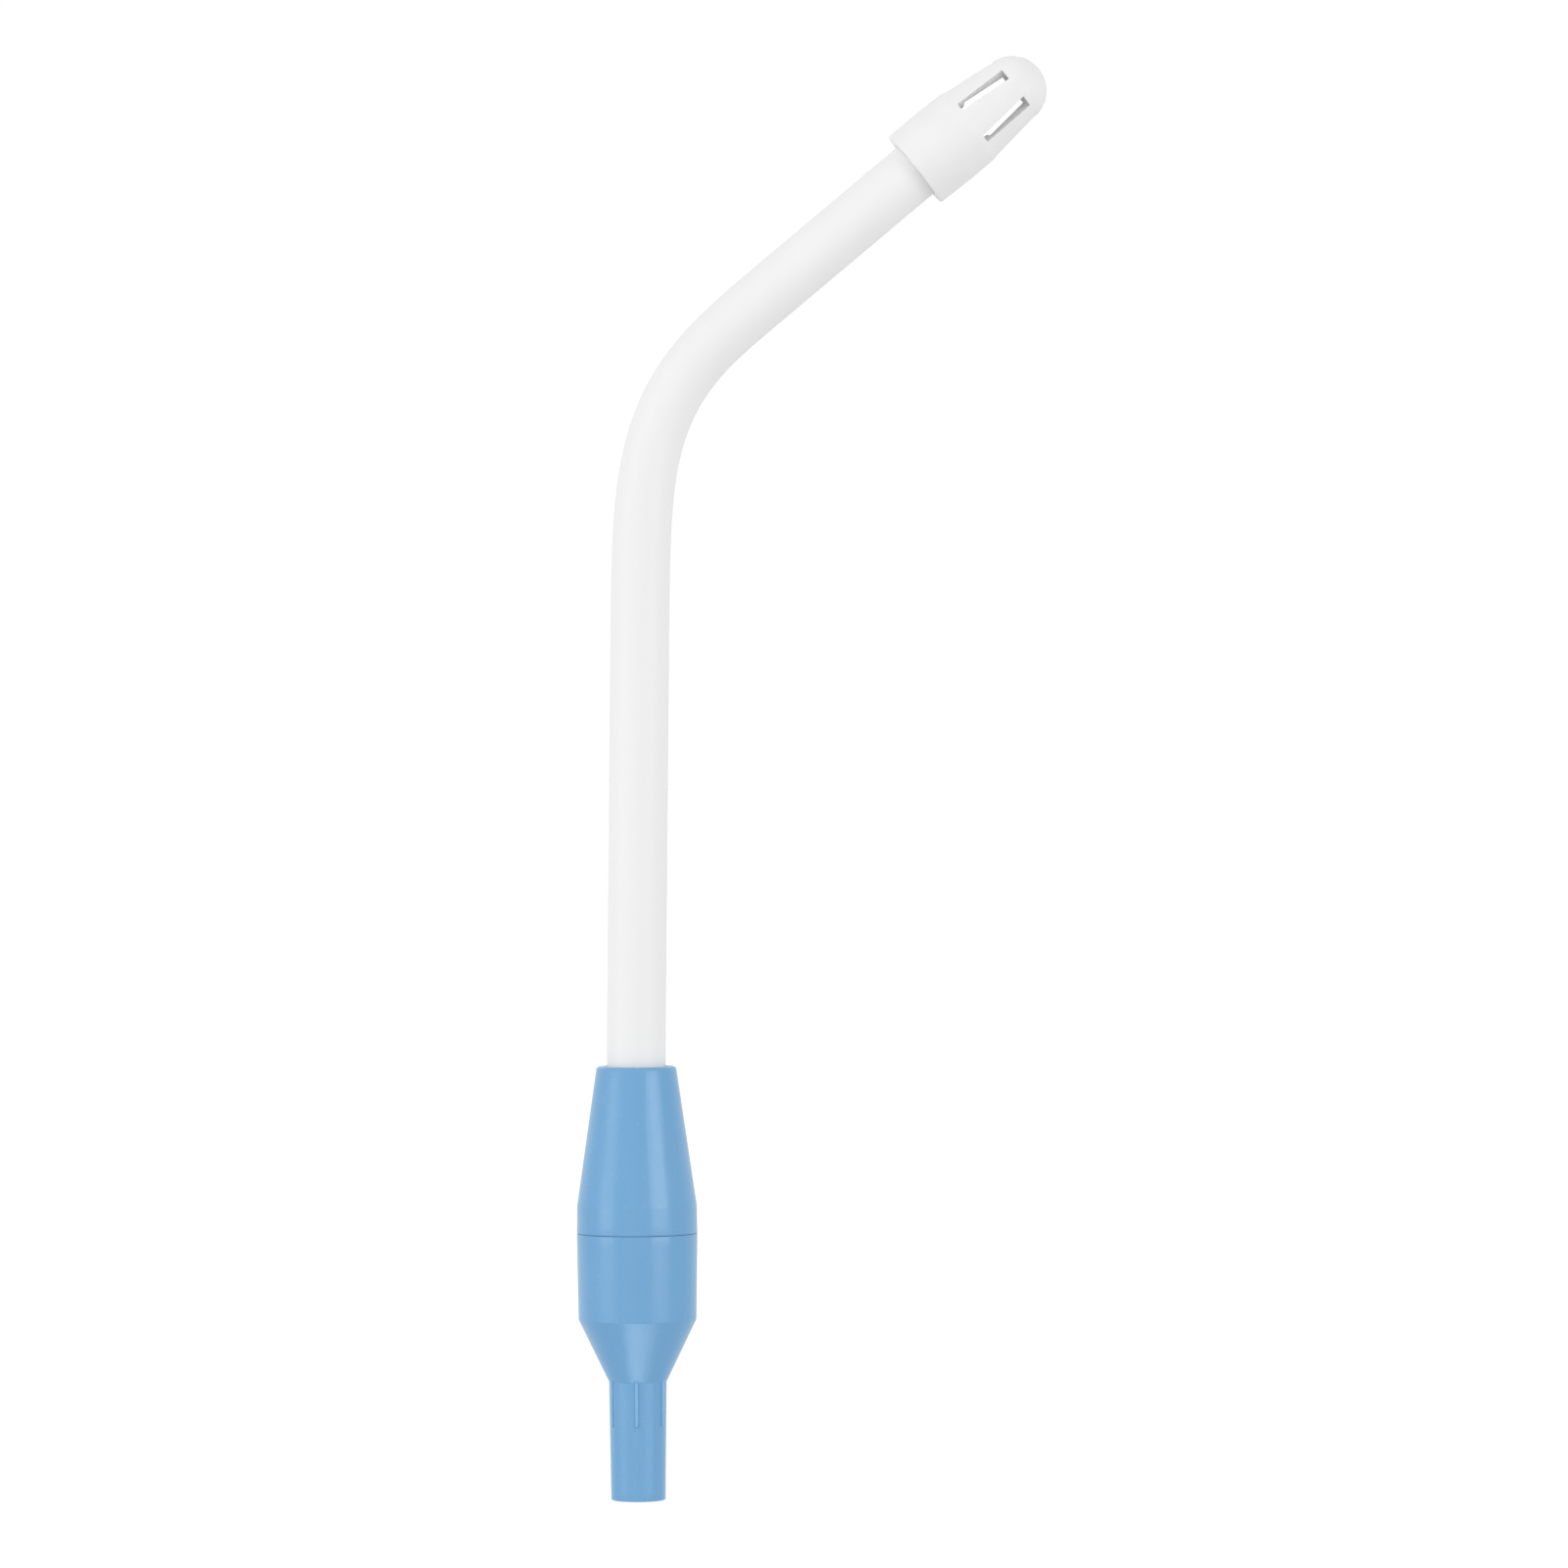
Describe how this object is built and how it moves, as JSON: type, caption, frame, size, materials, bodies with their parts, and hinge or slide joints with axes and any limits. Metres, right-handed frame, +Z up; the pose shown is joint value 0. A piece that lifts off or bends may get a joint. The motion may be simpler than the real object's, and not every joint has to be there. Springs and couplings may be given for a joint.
{
  "type": "saliva ejector tip",
  "caption": "Bendable white suction tube with a slotted, removable domed cap, in a blue bulb-shaped housing with a one-way valve and a plain tail for a hose.",
  "frame": {"origin": "centre of the tail's open end, where the suction hose's valve takes the tail", "axes": "+Z up the axis of the tail and housing towards the tube, +X the way the tube bends, Y square to the plane of the bend"},
  "size_m": [0.0523, 0.0132, 0.1589],
  "materials": {
    "blue_plastic": "satin moulded plastic",
    "white_tube": "satin soft extruded plastic",
    "white_cap": "satin moulded soft plastic",
    "silicone": "matt translucent silicone",
    "steel_wire": "copper-washed soft steel wire"
  },
  "bodies": {
    "housing": {"lower_housing": "blue_plastic", "upper_housing": "blue_plastic", "duckbill_barrel": "silicone"},
    "stem": {"tube_stem": "white_tube", "shaping_wire_stem": "steel_wire"},
    "bend_1": {"tube_bend_1": "white_tube", "shaping_wire_bend_1": "steel_wire"},
    "bend_2": {"tube_bend_2": "white_tube", "shaping_wire_bend_2": "steel_wire"},
    "bend_3": {"tube_bend_3": "white_tube", "shaping_wire_bend_3": "steel_wire"},
    "bend_4": {"tube_bend_4": "white_tube", "shaping_wire_bend_4": "steel_wire"},
    "bend_5": {"tube_bend_5": "white_tube", "shaping_wire_bend_5": "steel_wire"},
    "neck": {"tube_neck": "white_tube", "shaping_wire_neck": "steel_wire"},
    "cap": {"tip_cap": "white_cap"},
    "lip_left": {"duckbill_lip_left": "silicone"},
    "lip_right": {"duckbill_lip_right": "silicone"}
  },
  "joints": [
    {"name": "tube_swivel", "type": "hinge", "parent": "housing", "child": "stem", "pos_m": [0, 0, 0.037], "axis": [0, 0, 1], "continuous": true},
    {"name": "tube_bend_1", "type": "hinge", "parent": "stem", "child": "bend_1", "pos_m": [0.00109, 0, 0.10903], "axis": [0, 1, 0], "range_deg": [-8.2, 6.7]},
    {"name": "tube_bend_2", "type": "hinge", "parent": "bend_1", "child": "bend_2", "pos_m": [0.00201, 0, 0.1152], "axis": [0, 1, 0], "range_deg": [-8.2, 6.7]},
    {"name": "tube_bend_3", "type": "hinge", "parent": "bend_2", "child": "bend_3", "pos_m": [0.00316, 0, 0.11892], "axis": [0, 1, 0], "range_deg": [-8.2, 6.7]},
    {"name": "tube_bend_4", "type": "hinge", "parent": "bend_3", "child": "bend_4", "pos_m": [0.00459, 0, 0.12193], "axis": [0, 1, 0], "range_deg": [-8.2, 6.7]},
    {"name": "tube_bend_5", "type": "hinge", "parent": "bend_4", "child": "bend_5", "pos_m": [0.00646, 0, 0.12473], "axis": [0, 1, 0], "range_deg": [-8.2, 6.7]},
    {"name": "tube_bend_6", "type": "hinge", "parent": "bend_5", "child": "neck", "pos_m": [0.00944, 0, 0.12799], "axis": [0, 1, 0], "range_deg": [-8.2, 6.7]},
    {"name": "cap_pull", "type": "slide", "parent": "neck", "child": "cap", "axis": [0.7793, 0, 0.6267], "range_m": [0, 0.014]},
    {"name": "lip_left_open", "type": "hinge", "parent": "housing", "child": "lip_left", "pos_m": [-0.0032, 0, 0.0223], "axis": [0, 1, 0], "range_deg": [0, 14], "stiffness_Nm_per_rad": 0.0002},
    {"name": "lip_right_open", "type": "hinge", "parent": "housing", "child": "lip_right", "pos_m": [0.0032, 0, 0.0223], "axis": [0, -1, 0], "range_deg": [0, 14], "stiffness_Nm_per_rad": 0.0002}
  ],
  "couplings": [
    {"joint": "tube_bend_2", "follows": "tube_bend_1", "ratio": 1},
    {"joint": "tube_bend_3", "follows": "tube_bend_1", "ratio": 1},
    {"joint": "tube_bend_4", "follows": "tube_bend_1", "ratio": 1},
    {"joint": "tube_bend_5", "follows": "tube_bend_1", "ratio": 1},
    {"joint": "tube_bend_6", "follows": "tube_bend_1", "ratio": 1},
    {"joint": "lip_right_open", "follows": "lip_left_open", "ratio": 1}
  ]
}
